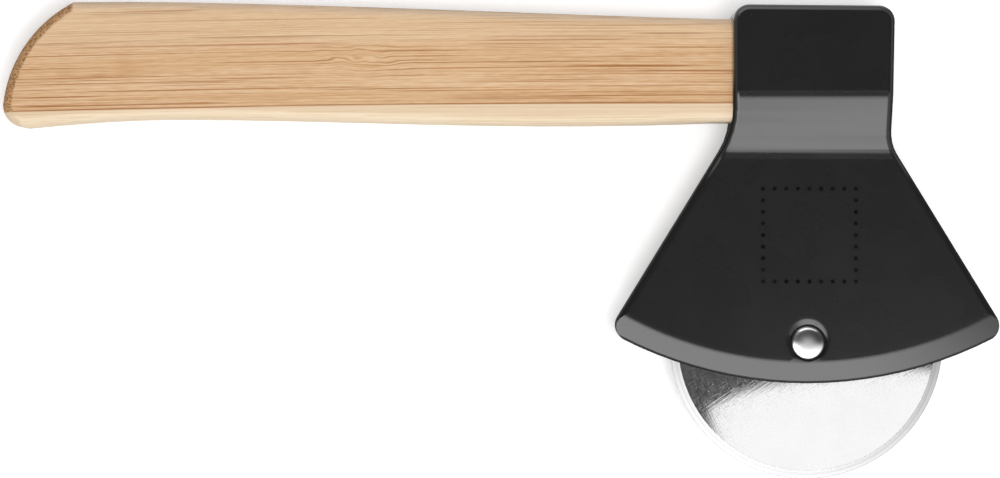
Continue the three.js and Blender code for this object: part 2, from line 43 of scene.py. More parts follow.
# %% [markdown]
# ## The camera
# The photograph looks straight down on a cutter that lies on a white table. A camera could be aimed with a
# constraint, but one that hangs over the origin with no rotation already looks down -Z with +Y upwards,
# which is easier to check. The lens follows from how wide a strip of the table fills the picture.

# %% Hang the camera over the cutter
PICTURE_WIDTH = 1000
MM_PER_PIXEL = 0.2105
CAMERA_HEIGHT = 800 * MM
CAMERA_X = -0.3 * MM
CAMERA_Y = 0.43 * MM
SENSOR_WIDTH = 36

seen_width = PICTURE_WIDTH * MM_PER_PIXEL * MM
camera_data = bpy.data.cameras.new("camera")
camera_data.sensor_fit = "HORIZONTAL"
camera_data.sensor_width = SENSOR_WIDTH
camera_data.lens = SENSOR_WIDTH * CAMERA_HEIGHT / seen_width
camera = bpy.data.objects.new("camera", camera_data)
camera.location = (CAMERA_X, CAMERA_Y, axle.z + CAMERA_HEIGHT)
bpy.context.scene.collection.objects.link(camera)
bpy.context.scene.camera = camera
print("lens in mm:", round(camera_data.lens, 1))

# %% [markdown]
# ## Shader maths as Python
# A finish is a chain of nodes, and long chains are hard to read as one call per node. The class below wraps
# one output of a node, so that sums and products of values are written as plain Python and add their own
# Math nodes. Every other node comes from its one method, which sets the node up before it is joined.

# %% A wire carries one value through a node tree
class Wire:
    """One output of a node. Arithmetic on wires adds Math nodes to the same tree."""

    def __init__(self, tree, socket=None):
        self.tree = tree
        self.socket = socket

    def node(self, kind, settings=None, values=None, out=0):
        """Add a node: first its settings, then the value or wire of each input. Returns one output."""
        made = self.tree.nodes.new(kind)
        for name, setting in (settings or {}).items():
            setattr(made, name, setting)
        for name, value in (values or {}).items():
            if isinstance(value, Wire):
                self.tree.links.new(value.socket, made.inputs[name])
            else:
                made.inputs[name].default_value = value
        return Wire(self.tree, made.outputs[out] if len(made.outputs) else None)

    def math(self, operation, *others):
        return self.node("ShaderNodeMath", {"operation": operation}, dict(enumerate((self, *others))))

    def after(self, operation, other):
        return self.node("ShaderNodeMath", {"operation": operation}, {0: other, 1: self})

    def __add__(self, other):
        return self.math("ADD", other)

    def __radd__(self, other):
        return self.after("ADD", other)

    def __sub__(self, other):
        return self.math("SUBTRACT", other)

    def __rsub__(self, other):
        return self.after("SUBTRACT", other)

    def __mul__(self, other):
        return self.math("MULTIPLY", other)

    def __rmul__(self, other):
        return self.after("MULTIPLY", other)

    def __truediv__(self, other):
        return self.math("DIVIDE", other)

    def __rpow__(self, other):
        return self.after("POWER", other)

    def __abs__(self):
        return self.math("ABSOLUTE")

    def step(self, start, end):
        """A soft step: 0 at start and before it, 1 at end and past it, whichever is the larger."""
        return self.node(
            "ShaderNodeMapRange",
            {"interpolation_type": "SMOOTHSTEP"},
            {"Value": self, "From Min": start, "From Max": end},
        )

    def bell(self, middle, reach):
        """A soft bump: 1 at the middle, a third at the reach, almost nothing at twice the reach."""
        away = (self - middle) / reach
        return math.e ** (away * away * -1)

    def mix(self, start, end):
        """The first colour where this wire is 0, the second where it is 1."""
        return self.node("ShaderNodeMix", {"data_type": "RGBA"}, {0: self, 6: start, 7: end}, out=2)


# %% Helpers that each add one kind of node
def outputs(wire):
    """All outputs of the node that a wire comes from, by name."""
    return {socket.name: Wire(wire.tree, socket) for socket in wire.socket.node.outputs}


def vector(x, y, z):
    """Three values joined into one vector."""
    wire = next(value for value in (x, y, z) if isinstance(value, Wire))
    return wire.node("ShaderNodeCombineXYZ", values={"X": x, "Y": y, "Z": z})


def split(wire):
    """The x, y and z of a vector."""
    parts = outputs(wire.node("ShaderNodeSeparateXYZ", values={"Vector": wire}))
    return parts["X"], parts["Y"], parts["Z"]


def noise(place, detail=2.0, roughness=0.5):
    """Cloudy noise around 0.5, with lumps about one unit of the given place across."""
    sockets = {"Vector": place, "Scale": 1.0, "Detail": detail, "Roughness": roughness}
    return place.node("ShaderNodeTexNoise", values=sockets)


def cells(place):
    """Distance to the nearest of many scattered points, about one unit of the given place apart."""
    return place.node("ShaderNodeTexVoronoi", values={"Vector": place, "Scale": 1.0})


def bump(height, distance):
    """The normal of a surface that rises by the distance, in mm, where the height goes from 0 to 1."""
    return height.node("ShaderNodeBump", values={"Height": height, "Distance": distance * MM})


def by_eye(red, green, blue):
    """A colour, from 0 to 255, as the linear colour that shaders work with."""
    def channel(value):
        share = value / 255
        return share / 12.92 if share <= 0.04045 else ((share + 0.055) / 1.055) ** 2.4

    return (channel(red), channel(green), channel(blue), 1.0)


print("grey 128 in linear light:", round(by_eye(128, 128, 128)[0], 3))

# %% [markdown]
# A finish starts the same way each time: a material with a Principled shader, the place on the piece in
# millimetres, and the direction that the surface faces. Both come from the piece itself, so the pattern
# stays on it when it moves, as grain and scratches do.

# %% Start a finish
def new_finish(name):
    """A material, its shader, the place on the piece in mm, and the direction that its surface faces."""
    material = bpy.data.materials.new(name)
    material.use_nodes = True
    tree = material.node_tree
    coordinates = outputs(Wire(tree).node("ShaderNodeTexCoord"))
    place = coordinates["Object"]
    scaled = {"Vector": place, "Scale": 1 / MM}
    millimetres = place.node("ShaderNodeVectorMath", {"operation": "SCALE"}, scaled)
    return material, tree.nodes["Principled BSDF"], millimetres, coordinates["Normal"]


def feed(shader, **inputs):
    """Join wires to a shader's inputs, or set plain values on them. An underscore stands for a space."""
    for name, value in inputs.items():
        socket = shader.inputs[name.replace("_", " ")]
        if isinstance(value, Wire):
            value.tree.links.new(value.socket, socket)
        else:
            socket.default_value = value


finishes = {}


def keep(name, material):
    """Keep a finish under its name, for the pieces that wear it."""
    finishes[name] = material
    print(name, "has nodes:", len(material.node_tree.nodes))


wanted = sorted({part["material_slot"] for part in frame["record"]["subparts"]})
print("finishes that the record asks for:", ", ".join(wanted))

# %% [markdown]
# ## Soft shading for solid pieces
# The frame's meshes are made of flat facets. Smoothing them all over would smear the light across true
# edges, so a small geometry node tree joins the facets, smooths them, and keeps edges sharper than a given
# angle. A planar decimation dissolves the seams inside flat faces, and weighted normals then let such whole
# faces win over the narrow fillets beside them. All three are modifiers, so the meshes stay as they came.

# %% Smooth the facets but keep the edges
WELD_DISTANCE = 0.002 * MM
SHARP_ANGLE = math.radians(32)
WHEEL_SHARP_ANGLE = math.radians(10)
FLAT_ANGLE = math.radians(0.2)
FLAT_FACE_WEIGHT = 95


def soft_shading(name, sharp_angle):
    """A node tree that joins the facets of a piece and smooths all edges but the sharp ones."""
    tree = bpy.data.node_groups.new(name, "GeometryNodeTree")
    for side in ("INPUT", "OUTPUT"):
        tree.interface.new_socket("Geometry", in_out=side, socket_type="NodeSocketGeometry")
    solid = Wire(tree).node("NodeGroupInput")
    bare = solid.node("GeometryNodeRemoveAttribute", values={"Geometry": solid, "Name": "custom_normal"})
    joined = bare.node("GeometryNodeMergeByDistance", values={"Geometry": bare, "Distance": WELD_DISTANCE})
    smooth = joined.node("GeometryNodeSetShadeSmooth", {"domain": "FACE"}, {"Geometry": joined})
    sharp = smooth.node("GeometryNodeInputMeshEdgeAngle").math("GREATER_THAN", sharp_angle)
    creases = {"Geometry": smooth, "Selection": sharp, "Shade Smooth": False}
    creased = smooth.node("GeometryNodeSetShadeSmooth", {"domain": "EDGE"}, creases)
    creased.node("NodeGroupOutput", values={"Geometry": creased})
    return tree


shading = soft_shading("soft_shading", SHARP_ANGLE)
wheel_shading = soft_shading("wheel_shading", WHEEL_SHARP_ANGLE)
for name, piece in nodes.items():
    modifier = piece.modifiers.new("soft_shading", "NODES")
    modifier.node_group = wheel_shading if name == "cutting_wheel" else shading
    flattened = piece.modifiers.new("whole_faces", "DECIMATE")
    flattened.decimate_type = "DISSOLVE"
    flattened.angle_limit = FLAT_ANGLE
    flattened.delimit = {"SHARP"}
    weighted = piece.modifiers.new("weighted_normals", "WEIGHTED_NORMAL")
    weighted.keep_sharp = True
    weighted.weight = FLAT_FACE_WEIGHT
print("pieces smoothed:", len(nodes))

# %% [markdown]
# ## Bamboo
# The handle is pressed from strips of bamboo. Seen along the stem, bamboo is full of fibre bundles that show
# as dots on an end and as long streaks on a side. Streaks painted on the front would break off at the edges,
# so the bundles are scattered through the whole solid and stretched along X: every side then cuts its own
# pattern out of the same wood. Heights are counted from the dark glue line above the pale lowest strip.

# %% Where the strips meet
# The dark glue line: the x of its middle, its height there, its slope and bend along x, and its half width
GLUE_MIDDLE = -25.8
GLUE_HEIGHT = 28.5
GLUE_RISE = 0.0121
GLUE_BEND = 0.0000927
GLUE_WIDTH = 0.17
PLY_COUNT = 3

handle_low, handle_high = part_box("handle")
ply_thickness = (handle_high.z - handle_low.z) / MM / PLY_COUNT


def above_glue(x, y):
    away = x - GLUE_MIDDLE
    return y - (GLUE_HEIGHT + away * GLUE_RISE - away * away * GLUE_BEND)


def seams_of_plies(z):
    """1 where two plies meet inside the handle, and 0 elsewhere and on its outer faces."""
    ply = (z - handle_low.z / MM) / ply_thickness
    inside = ply.step(0.5, 0.6) * ply.step(PLY_COUNT - 0.5, PLY_COUNT - 0.6)
    return ply.math("PINGPONG", 0.5).step(0.02, 0.0) * inside


print("thickness of a ply in mm:", round(ply_thickness, 2))

# %% How the fibres run
# Where they swirl round a joint of the stem, and where specks and a stain lie: x, height, and the reach along
# and across the fibres
SWIRL = (-29, 9.9, 6.5, 3.0)
SPECKS = (-47.5, 17.6, 4.5, 2.0)
STAIN = (-78.5, 8.5, 2.4, 3.8)

# How far the swirl bends them, in mm, and the lumps per mm of the noise that bends them
SWIRL_BEND = 6.5
SWIRL_LUMPS = (0.11, 0.22, 0.2)

# Layers of the grain: lumps per mm along and across, detail, and the noise where a layer starts and is full
GRAIN = {
    "tone": (0.008, 0.3, 2, 0.3, 0.7),
    "bands": (0.012, 0.9, 2, 0.35, 0.7),
    "fine": (0.03, 3.4, 1, 0.38, 0.62),
    "dashes": (0.28, 4.0, 1, 0.34, 0.66),
    "dense": (0.014, 0.4, 2, 0.38, 0.62),
    "lines": (0.02, 3.4, 0, 0.65, 0.74),
}

# Scattered fibres: points per mm along and across, and how near to a point a fibre starts and is full
FIBRES = {
    "bundles": (0.018, 1.7, 0.26, 0.12),
    "hairs": (0.05, 2.9, 0.36, 0.14),
}

# The longest dark bundles on the front: from x, to x, height above the glue line, half width and strength
LONG_BUNDLES = [
    (-100, -73, 14.0, 0.13, 0.7),
    (-92, -30, 12.9, 0.12, 0.9),
    (-66, -34, 14.4, 0.2, 0.6),
    (-98, -52, 5.4, 0.11, 0.6),
    (-104, -80, 2.7, 0.13, 0.8),
    (-104, -92, 4.2, 0.12, 0.8),
    (-104, -55, 0.9, 0.16, 0.9),
    (-7, 30, 13.2, 0.13, 1.0),
    (-8, 27, 14.1, 0.1, 0.7),
    (25, 46, 14.5, 0.18, 0.9),
    (-7, 26, 11.6, 0.11, 0.7),
    (15, 38, 3.5, 0.1, 0.8),
    (25, 52, 6.8, 0.13, 0.7),
    (-14, 24, 1.2, 0.4, 0.6),
]
BUNDLE_TAPER = 8


def spot(x, height, place):
    """A soft patch on the front, given by its middle and its reach along and across the fibres."""
    middle_x, middle_height, reach_x, reach_height = place
    return x.bell(middle_x, reach_x) * height.bell(middle_height, reach_height)


def long_bundles(x, height):
    total = 0
    for start, end, level, half_width, strength in LONG_BUNDLES:
        length = x.step(start, start + BUNDLE_TAPER) * x.step(end, end - BUNDLE_TAPER)
        streak = height.bell(level, half_width) * length * strength
        total = streak.math("MAXIMUM", total)
    return total


print("long bundles on the front:", len(LONG_BUNDLES))

# %% Mix the bamboo
WOOD_PALE = by_eye(226, 194, 158)
WOOD_WARM = by_eye(221, 186, 147)
FIBRE = by_eye(194, 146, 98)
DARK_FIBRE = by_eye(156, 96, 44)
PALER_TOP_WOOD = by_eye(228, 205, 173)
TOP_ROUND_SHADE = by_eye(214, 192, 170)
LOWEST_STRIP = by_eye(230, 206, 176)
LOWEST_FIBRE = by_eye(214, 184, 144)
LOW_ROUND_LIGHT = by_eye(238, 219, 192)
END_GRAIN = by_eye(192, 148, 104)
END_DOTS = by_eye(108, 74, 44)

# The wood turns paler towards the top edge, from the first height above the glue line to the second
PALER_TOP_HEIGHTS = (11, 15)
PALER_TOP_SHARE = 0.3


def bamboo():
    material, shader, place, facing = new_finish("bamboo")
    x, y, z = split(place)
    faces_x, faces_y, faces_z = split(facing)
    height = above_glue(x, y)
    swirl = spot(x, height, SWIRL)
    lumps_x, lumps_height, lumps_z = SWIRL_LUMPS
    wobble = noise(vector(x * lumps_x, height * lumps_height, z * lumps_z)) - 0.5
    bent = height + swirl * wobble * SWIRL_BEND

    def grain(along, across, detail, start, full):
        return noise(vector(x * along, bent * across, z * across), detail).step(start, full)

    def fibres(along, across, start, full):
        return cells(vector(x * along, bent * across, z * across)).step(start, full)

    tone, bands, fine, dashes, dense, lines = [grain(*layer) for layer in GRAIN.values()]
    bundles, hairs = [fibres(*layer) for layer in FIBRES.values()]
    long_ones = long_bundles(x, bent) * (fine * 0.5 + 0.6)
    specks = cells(vector(x * 1.1, height * 2.0, z * 2.0)).step(0.36, 0.16) * spot(x, height, SPECKS)
    streaks = (bundles * (dense * 0.5 + 0.15)).math("MAXIMUM", lines * (0.75 - swirl * 0.6))

    upper = tone.mix(WOOD_WARM, WOOD_PALE)
    upper = (bands * 0.12 + fine * 0.4 + dashes * 0.32).mix(upper, FIBRE)
    upper = (hairs * (dense * 0.35 + 0.2)).mix(upper, FIBRE)
    upper = streaks.mix(upper, DARK_FIBRE)
    upper = (spot(x, height, STAIN) * 0.35 + specks * 0.6).mix(upper, FIBRE)
    upper = long_ones.mix(upper, DARK_FIBRE)
    upper = (height.step(*PALER_TOP_HEIGHTS) * PALER_TOP_SHARE).mix(upper, PALER_TOP_WOOD)
    # Painted shade: the upper rounding, which faces away from the lamp, turns greyer
    upper = (faces_y.step(0.1, 0.8) * 0.5).mix(upper, TOP_ROUND_SHADE)

    # Painted light: the lower rounding, which faces the lamps, is paler than the flat of the lowest strip
    lower = faces_z.step(1.0, 0.97).mix(LOWEST_STRIP, LOW_ROUND_LIGHT)
    lower = (fine * 0.25 + dashes * 0.15 + streaks * 0.4).mix(lower, LOWEST_FIBRE)
    above = height.step(-0.15, 0.1)
    colour = above.mix(lower, upper)
    glue = height.bell(0, GLUE_WIDTH) * (fine * 0.35 + 0.65)
    colour = glue.math("MAXIMUM", seams_of_plies(z) * 0.35).mix(colour, DARK_FIBRE)

    end = abs(faces_x).step(0.06, 0.24) * (above * 0.8 + 0.2)
    dots = noise(vector(x * 1.4, height * 3.2, z * 3.2), detail=1).step(0.45, 0.62)
    colour = end.mix(colour, (dots * 0.7).mix(END_GRAIN, END_DOTS))

    relief = 1 - fine * 0.2 - dashes * 0.2 - streaks * 0.6 - long_ones * 0.5 - end * dots
    feed(
        shader,
        Base_Color=colour,
        Roughness=fine * 0.08 + streaks * 0.1 + end * 0.2 + 0.5,
        Specular_IOR_Level=0.12,
        Coat_Weight=0.03,
        Coat_Roughness=0.4,
        Normal=bump(relief, 0.04),
    )
    return material


keep("bamboo", bamboo())

# %% [markdown]
# ## Black plastic
# The head is a glossy moulding. Its faces mirror the studio, while its sides keep the dull skin of the mould,
# except on the poll, which the palm rubs bright. One roughness for all of it would let the sides catch the
# pale table and ring the head with light, so two shaders are mixed by the way that the surface faces: gloss
# on the faces and the poll, and a matt one with hardly any mirror light on the other sides. On the fan's
# straight edges the matt skin starts sooner, where the rounding would show a pale line. The square of printed
# dots on the fan is matt as well, and comes from the distance to the nearest point of a grid.

# %% Place the printed dots
PRINT_MIDDLE = (64.4, 1.25)
PRINT_HALF_SIDE = 9.7
PRINT_SPACES = 8
DOT_RADIUS = 0.42
DOT_SOFTNESS = 0.08
FRAME_SOFTNESS = 0.1
dot_spacing = 2 * PRINT_HALF_SIDE / PRINT_SPACES


def printed_dots(x, y):
    """1 on the dots along the sides of the square, and 0 elsewhere."""
    right = x - PRINT_MIDDLE[0]
    up = y - PRINT_MIDDLE[1]
    off_x = right - (right / dot_spacing).math("ROUND") * dot_spacing
    off_y = up - (up / dot_spacing).math("ROUND") * dot_spacing
    from_dot = (off_x * off_x + off_y * off_y).math("SQRT")
    from_middle = abs(right).math("MAXIMUM", abs(up))
    on_frame = abs(from_middle - PRINT_HALF_SIDE).step(dot_spacing / 2, dot_spacing / 2 - FRAME_SOFTNESS)
    return from_dot.step(DOT_RADIUS + DOT_SOFTNESS, DOT_RADIUS - DOT_SOFTNESS) * on_frame


print("the dots are this many mm apart:", round(dot_spacing, 2))

# %% Mould the plastic
PLASTIC_BLACK = (0.012, 0.012, 0.0123, 1)
RUBBED_BLACK = (0.05, 0.05, 0.051, 1)
INK_BLACK = (0.002, 0.002, 0.002, 1)
MATT_MIRROR_LIGHT = 0.02
middle_height = axle.z / MM

# Scuffs: angle, pitch and length in mm, and the noise where a scuff starts and is full
SCUFFS = [(0.5, 0.25, 14, 0.62, 0.72), (-0.9, 0.2, 9, 0.64, 0.74)]

# The rubbed poll faces up and a little left, and fades in between two heights. So does the fan, downwards
POLL_FACING = (-0.5, 0.87)
POLL_HEIGHTS = (30, 36)
FAN_HEIGHTS = (16, 12)


def hairlines(x, y, angle, pitch, length):
    """Fine scratches that run at an angle: noise that is narrow across them and long along them."""
    cosine, sine = math.cos(angle), math.sin(angle)
    along = x * cosine + y * sine
    across = y * cosine - x * sine
    return noise(vector(along / length, across / pitch, 0.0), detail=3, roughness=0.6)


def black_plastic(name, printed):
    material, shader, place, facing = new_finish(name)
    x, y, z = split(place)
    clouds = noise(vector(x * 0.12, y * 0.12, z * 0.12), detail=3)
    scuffs = sum(hairlines(x, y, *lines).step(start, full) for *lines, start, full in SCUFFS)
    skin = noise(vector(x * 4, y * 4, z * 4), detail=2)
    worn = noise(vector(x * 0.9, y * 0.9, z * 0.9), detail=4).step(0.5, 0.75)
    faces_x, faces_y, faces_z = split(facing)
    turned_up = abs(faces_z)
    towards_poll = faces_x * POLL_FACING[0] + faces_y * POLL_FACING[1]
    poll = towards_poll.step(0.25, 0.5) * y.step(*POLL_HEIGHTS)
    fan_edge = (faces_y + abs(faces_x) * 0.5).step(0.05, 0.2) * y.step(*FAN_HEIGHTS)
    dull = (turned_up.step(0.9, 0.6) * (1 - poll)).math("MAXIMUM", fan_edge)
    rubbed = turned_up.step(0.92, 0.75) * turned_up.step(0.2, 0.5) * worn
    black = (rubbed * 0.1 + clouds * 0.1).mix(PLASTIC_BLACK, RUBBED_BLACK)
    if printed:
        dots = printed_dots(x, y) * (z - middle_height).step(0, 1)
        black = dots.mix(black, INK_BLACK)
        dull = dull.math("MAXIMUM", dots)
    relief = bump(skin, 0.0015)
    roughness = clouds * 0.05 + scuffs * 0.02 + rubbed * 0.1 + 0.14
    feed(shader, Base_Color=black, Roughness=roughness, Normal=relief)
    matt = place.node(
        "ShaderNodeBsdfPrincipled",
        values={
            "Base Color": black,
            "Roughness": skin * 0.2 + 0.5,
            "Specular IOR Level": MATT_MIRROR_LIGHT,
            "Normal": relief,
        },
    )
    gloss = Wire(place.tree, shader.outputs[0])
    mixed = place.node("ShaderNodeMixShader", values={0: dull, 1: gloss, 2: matt})
    place.tree.links.new(mixed.socket, place.tree.nodes["Material Output"].inputs["Surface"])
    return material


keep("black_plastic", black_plastic("black_plastic", printed=False))
keep("black_plastic_printed", black_plastic("black_plastic_printed", printed=True))

# %% [markdown]
# ## Steel
# The wheel is polished sheet that was brushed both ways, so a mirror with a fine weave of scratches, and its
# ground edge is rougher, with rings from the stone that sharpened it. Anisotropic shading could give the
# brushing, but bent normals from a scratch pattern also break up the edge of a reflection, which is what
# shows here. The finest scratches scatter light in all directions instead, so they are made a little less
# metallic: they show in a dark reflection and vanish in a white one. Thin lines of painted shade mark where
# the ground edge starts and the rim. The rivet is plainer and softer. Its dome would mirror the whole sky in
# its rim, so the half that a dark room would shade gets painted shade instead, and a ring of painted shade
# lies round its foot, where it meets its seat.

# %% Polish the wheel
STEEL = (0.94, 0.94, 0.942, 1)
CLOUDED_STEEL = (0.88, 0.88, 0.885, 1)
GROUND_STEEL = (0.42, 0.42, 0.425, 1)
# Painted shade: the grey of the dark lines on the wheel and of the ring round the rivet's foot
PAINTED_SHADE_GREY = (0.04, 0.04, 0.04, 1)
GROUND_ROUGHNESS = 0.6
SCRATCH_SCATTER = 0.09

# The radius where the ground edge starts, and the lines of painted shade there and at the rim: half width and
# strength
GROUND_FROM = 27.0
GROUND_SHADE_LINE = (0.1, 0.3)
RIM_SHADE_LINE = (0.14, 0.25)

# The two ways of brushing, and the pitch and length of the brushed lines and of the finest scratches
BRUSH_ANGLES = (0.62, -1.08)
BRUSHED = (0.4, 6)
SCRATCHED = (0.28, 1.6)


def radius_of(name):
    low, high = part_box(name)
    return (high.x - low.x) / 2 / MM


def from_axle(x, y):
    right = x - axle.x / MM
    up = y - axle.y / MM
    return (right * right + up * up).math("SQRT")


def shade_ring(radius, middle, half_width, strength):
    """A thin line of painted shade all round the axle, at one radius."""
    return radius.bell(middle, half_width) * strength


wheel_radius = radius_of("cutting_wheel")
print("radius of the wheel in mm:", round(wheel_radius, 2))


def wheel_steel():
    material, shader, place, _ = new_finish("wheel_steel")
    x, y, z = split(place)
    radius = from_axle(x, y)
    ground = radius.step(GROUND_FROM - 0.05, GROUND_FROM + 0.05)
    # Painted shade: dark lines at the crease where the ground edge starts, and at the rim
    edge_shade_lines = shade_ring(radius, GROUND_FROM, *GROUND_SHADE_LINE) + shade_ring(radius, wheel_radius, *RIM_SHADE_LINE)
    brushed = sum(hairlines(x, y, angle, *BRUSHED) for angle in BRUSH_ANGLES)
    one_way, other_way = [hairlines(x, y, angle, *SCRATCHED).step(0.46, 0.66) for angle in BRUSH_ANGLES]
    scratches = one_way.math("MAXIMUM", other_way) * (1 - ground)
    rings = noise(vector(radius * 6, 0.0, z), detail=3)
    clouds = noise(vector(x * 0.15, y * 0.15, z), detail=3)
    heights = {0: ground, 2: brushed * 0.5, 3: rings * 0.6}
    relief = place.node("ShaderNodeMix", {"data_type": "FLOAT"}, heights)
    steel = (clouds.step(0.3, 0.8) * 0.5).mix(STEEL, CLOUDED_STEEL)
    steel = (ground * (rings.step(0.4, 0.7) * 0.3 + 0.6)).mix(steel, GROUND_STEEL)
    feed(
        shader,
        Base_Color=edge_shade_lines.mix(steel, PAINTED_SHADE_GREY),
        Metallic=1 - scratches * SCRATCH_SCATTER,
        Roughness=clouds * 0.01 + scratches * 0.03 + ground * GROUND_ROUGHNESS + 0.012,
        Normal=bump(relief, 0.0014),
    )
    return material


keep("wheel_steel", wheel_steel())

# %% Polish the rivet
RIVET_STEEL = (0.9, 0.9, 0.905, 1)
RIVET_SHADE = (0.2, 0.2, 0.202, 1)

# In mm: how far in from the rim the painted shade round its foot and the glint start and are full, the glint's
# heights above the axle, and where the painted shade on the dome starts and is full, upwards and outwards
FOOT_SHADE_WIDTHS = (0.65, 0.3)
GLINT_WIDTHS = (0.8, 0.65)
GLINT_HEIGHTS = (2.3, 2.6)
SHADE_HEIGHTS = (-1.0, 0.8)
SHADE_RADII = (0.2, 2.4)

rivet_radius = radius_of("axle_barrel")
print("radius of the rivet's head in mm:", round(rivet_radius, 2))


def rivet_steel():
    material, shader, place, _ = new_finish("rivet_steel")
    x, y, z = split(place)
    radius = from_axle(x, y)
    inwards = rivet_radius - radius
    up = y - axle.y / MM
    rings = noise(vector(radius * 4, 0.0, z), detail=2)
    clouds = noise(vector(x * 0.6, y * 0.6, z * 0.6), detail=3)
    # Painted shade: a dark ring round the foot of the head, where it meets its seat
    foot_shade = inwards.step(*FOOT_SHADE_WIDTHS)
    glint = up.step(*GLINT_HEIGHTS) * inwards.step(*GLINT_WIDTHS)
    shaded = up.step(*SHADE_HEIGHTS) * radius.step(*SHADE_RADII) * (1 - glint)
    steel = (clouds * 0.4).mix(RIVET_STEEL, CLOUDED_STEEL)
    steel = shaded.mix(steel, RIVET_SHADE)
    feed(
        shader,
        Base_Color=(foot_shade * 0.9).mix(steel, PAINTED_SHADE_GREY),
        Metallic=1.0,
        Roughness=clouds * 0.08 + rings * 0.04 + 0.28,
        Normal=bump(rings, 0.001),
    )
    return material


keep("rivet_steel", rivet_steel())

# %% [markdown]
# ## Hidden pieces
# Two nylon washers keep the wheel off the shells, and two drawn steel pins hold the handle. They only show
# when the cutter is taken apart, yet each still gets the marks of how it was made: nylon is cloudy and waxy,
# and a drawn pin has lines along its length.

# %% Nylon and drawn steel
NYLON_PALE = by_eye(233, 230, 218)
NYLON_DULL = by_eye(222, 217, 200)
PIN_DARK = (0.50, 0.51, 0.52, 1)
PIN_PALE = (0.62, 0.63, 0.64, 1)


def nylon():
    material, shader, place, _ = new_finish("nylon")
    x, y, z = split(place)
    clouds = noise(vector(x * 0.5, y * 0.5, z * 0.5), detail=4)
    turning = noise(vector(from_axle(x, y) * 4, 0.0, z * 2))
    feed(
        shader,
        Base_Color=clouds.step(0.3, 0.7).mix(NYLON_PALE, NYLON_DULL),
        Roughness=clouds * 0.2 + 0.4,
        Normal=bump(turning, 0.01),
    )
    return material


def pin_steel():
    material, shader, place, _ = new_finish("pin_steel")
    x, y, z = split(place)
    lines = noise(vector(x * 8, y * 8, z * 0.3), detail=3)
    feed(
        shader,
        Base_Color=lines.step(0.3, 0.7).mix(PIN_DARK, PIN_PALE),
        Metallic=1.0,
        Roughness=lines * 0.2 + 0.25,
        Normal=bump(lines, 0.006),
    )
    return material


keep("nylon", nylon())
keep("pin_steel", pin_steel())

# %% [markdown]
# ## Dress the pieces
# The record says which finish each piece wears. Only the front shell is printed, so it gets a finish of its
# own. The others share theirs, because a material that is shared has to be changed only once.

# %% Put on the finishes
for part in frame["record"]["subparts"]:
    nodes[part["node"]].material_slots[0].material = finishes[part["material_slot"]]
nodes["front_shell"].material_slots[0].material = finishes["black_plastic_printed"]
for name, piece in sorted(nodes.items()):
    print(name, "wears", piece.material_slots[0].material.name)

# %% [markdown]
# ## The studio
# The cutter lies on a white table in soft, even light. A white table could be lit until it clips, but that
# would wash out the bamboo, so the light stays at a plain level and the table glows a little for the camera
# and in reflections only. The sky does the same: it lights the piece gently, yet shows as white.

# %% Table and sky
FILL_LEVEL = 0.5
TABLE_WHITE = 0.8
TABLE_GLOW = 0.4
TABLE_REACH = 6.0
TABLE_DROP = 0.02 * MM


def seen_directly(tree):
    """1 for the rays that show a thing to the eye, straight or in a reflection, and 0 for its light."""
    rays = outputs(Wire(tree).node("ShaderNodeLightPath"))
    seen = rays["Is Camera Ray"].math("MAXIMUM", rays["Is Glossy Ray"])
    return seen.math("MAXIMUM", rays["Is Transmission Ray"])


def sheet(name, points, faces):
    """A piece of the studio that isn't part of the cutter."""
    mesh = bpy.data.meshes.new(name)
    mesh.from_pydata(points, [], faces)
    made = bpy.data.objects.new(name, mesh)
    bpy.context.scene.collection.objects.link(made)
    material = bpy.data.materials.new(name)
    material.use_nodes = True
    mesh.materials.append(material)
    return made, material.node_tree


sky = bpy.data.worlds.new("sky")
bpy.context.scene.world = sky
sky.use_nodes = True
sky_strength = seen_directly(sky.node_tree) * (1 - FILL_LEVEL) + FILL_LEVEL
sky.node_tree.links.new(sky_strength.socket, sky.node_tree.nodes["Background"].inputs["Strength"])
sky.node_tree.nodes["Background"].inputs["Color"].default_value = (1, 1, 1, 1)

# The table lies a hair below the cutter, so that the two faces don't fight over the same place
sides = ((-1, -1), (1, -1), (1, 1), (-1, 1))
corners = [(right * TABLE_REACH, up * TABLE_REACH, -TABLE_DROP) for right, up in sides]
_, table_tree = sheet("table", corners, [(0, 1, 2, 3)])
paper = table_tree.nodes["Principled BSDF"]
feed(paper, Base_Color=(TABLE_WHITE, TABLE_WHITE, TABLE_WHITE, 1), Roughness=1.0, Specular_IOR_Level=0.0)
table_glow = seen_directly(table_tree) * TABLE_GLOW
glow = table_glow.node("ShaderNodeEmission", values={"Strength": table_glow})
lit = glow.node("ShaderNodeAddShader", values={0: glow, 1: Wire(table_tree, paper.outputs[0])})
table_tree.links.new(lit.socket, table_tree.nodes["Material Output"].inputs["Surface"])
print("table white plus glow:", TABLE_WHITE + TABLE_GLOW)

# %% [markdown]
# ## Lamps, light strips and flags
# A round lamp, high on the lower right, makes the soft shadows at the upper left, and a weak one low in front
# lifts the rounded lower side of the handle. What a glossy thing shows is not those lamps but what stands
# round it, so more cards act on reflections alone: a bright strip in front, which the slope and the bevel
# catch, a weaker one behind for the poll, a dark flag overhead, which keeps the flat faces black and cuts the
# dark corner in the wheel, and a dark flag in front, which keeps the creases crisp. The overhead flag's edge
# is found by following the camera's view of the wheel up to the height of the flag, as if the wheel were a
# plain mirror.

# %% Lamps
LAMP_DISTANCE = 1.2
LAMP_SIZE = 0.4

# How bright a white card that faces the lamp would be, and the lamp's tilt and azimuth in degrees
LAMPS = {"key": (0.5, 10, -38), "front": (0.16, 62, -95)}


def direction(tilt, azimuth):
    """A unit vector, tilted from straight up towards an azimuth that counts from +X."""
    flat = math.sin(tilt)
    return Vector((flat * math.cos(azimuth), flat * math.sin(azimuth), math.cos(tilt)))


